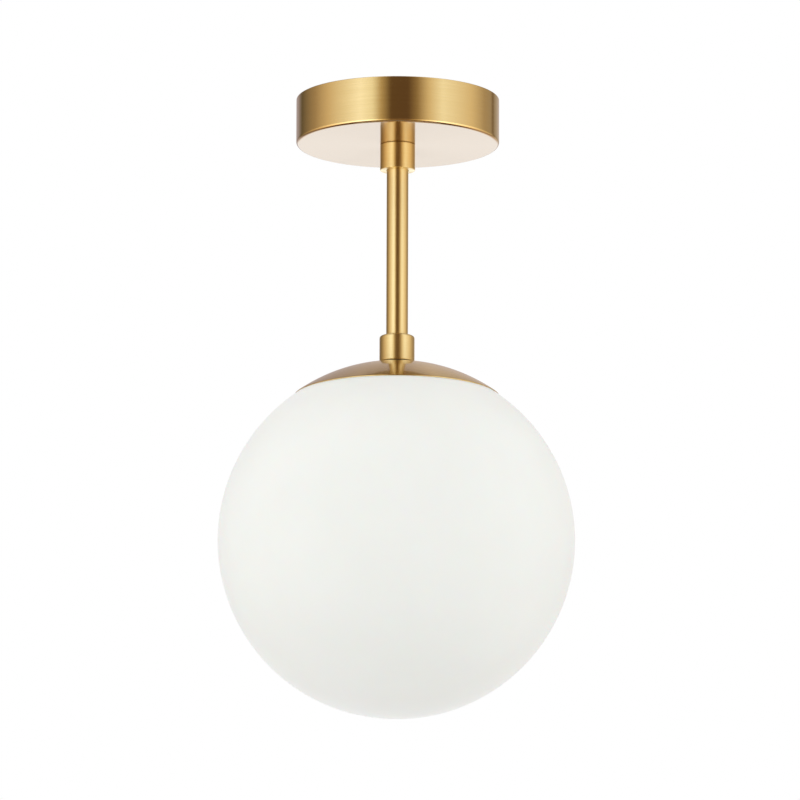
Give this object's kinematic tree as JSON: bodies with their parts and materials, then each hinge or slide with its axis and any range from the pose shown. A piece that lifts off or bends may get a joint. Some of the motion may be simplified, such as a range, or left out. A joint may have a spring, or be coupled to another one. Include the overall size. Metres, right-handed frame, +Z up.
{
  "type": "globe ceiling light",
  "caption": "Semi-flush ceiling light: brass canopy, slim stem and shallow dome cap carrying an opal glass globe held by sprung clips.",
  "frame": {"origin": "middle of the bracket's two screw slots, on the ceiling plane", "axes": "+Z up into the ceiling along the stem, +X along the bracket, the pictured side faces -Y"},
  "size_m": [0.203, 0.203, 0.3589],
  "materials": {
    "lacquered_brass": "satin brass under clear lacquer",
    "polished_brass": "bright spun brass under clear lacquer",
    "opal_glass": "satin opal white",
    "zinc_steel": "bright zinc plate",
    "spring_steel": "blued spring strip",
    "black_steel": "black oxide",
    "plain_brass": "bare brass",
    "black_phenolic": "moulded black",
    "ceramic_white": "glazed white",
    "block_plastic": "moulded white",
    "washer_rubber": "matt black",
    "clear_silicone": "milky",
    "lead_brown": "brown insulation",
    "lead_blue": "blue insulation",
    "lamp_white": "white moulding",
    "lamp_opal": "satin white diffuser",
    "lamp_nickel": "nickel plate",
    "lamp_black": "black glass",
    "solder": "solder",
    "board_white": "white board"
  },
  "bodies": {
    "fixture": {"ceiling_bracket": "zinc_steel", "earth_screw": "plain_brass", "earth_washer": "plain_brass", "terminal_block": "block_plastic", "terminal_tubes": "plain_brass", "terminal_screws": "plain_brass", "block_screw": "zinc_steel", "bracket_nuts": "zinc_steel", "bracket_lock_washer": "zinc_steel", "top_nipple": "zinc_steel", "stem_tube": "lacquered_brass", "stem_collar": "lacquered_brass", "collar_washer": "washer_rubber", "dome_cap": "polished_brass", "dome_liner": "clear_silicone", "lower_nipple": "zinc_steel", "dome_washer": "zinc_steel", "dome_lock_nut": "zinc_steel", "globe_spider": "zinc_steel", "globe_clip_1": "spring_steel", "globe_clip_2": "spring_steel", "globe_clip_3": "spring_steel", "clip_rivets": "zinc_steel", "lampholder_cap": "black_phenolic", "holder_grub_screw": "zinc_steel", "lampholder_skirt": "black_phenolic", "contact_carrier": "ceramic_white", "contact_screws": "plain_brass", "screw_shell": "plain_brass", "centre_contact": "plain_brass", "live_lead": "lead_brown", "neutral_lead": "lead_blue"},
    "canopy": {"canopy": "lacquered_brass", "canopy_collar": "lacquered_brass", "collar_grub_screw": "black_steel"},
    "globe": {"glass_globe": "opal_glass"},
    "lamp": {"lamp_screw_cap": "lamp_nickel", "lamp_insulator": "lamp_black", "lamp_tip": "solder", "lamp_housing": "lamp_white", "lamp_board": "board_white", "lamp_diffuser": "lamp_opal"}
  },
  "joints": [
    {"name": "canopy_drop", "type": "slide", "parent": "fixture", "child": "canopy", "axis": [0, 0, -1], "range_m": [0, 0.0965]},
    {"name": "globe_drop", "type": "slide", "parent": "fixture", "child": "globe", "axis": [0, 0, -1], "range_m": [0, 0.15], "deforming": ["globe_clip_1", "globe_clip_2", "globe_clip_3"]},
    {"name": "lamp_unscrew", "type": "slide", "parent": "fixture", "child": "lamp", "axis": [0, 0, -1], "range_m": [0, 0.03]}
  ]
}
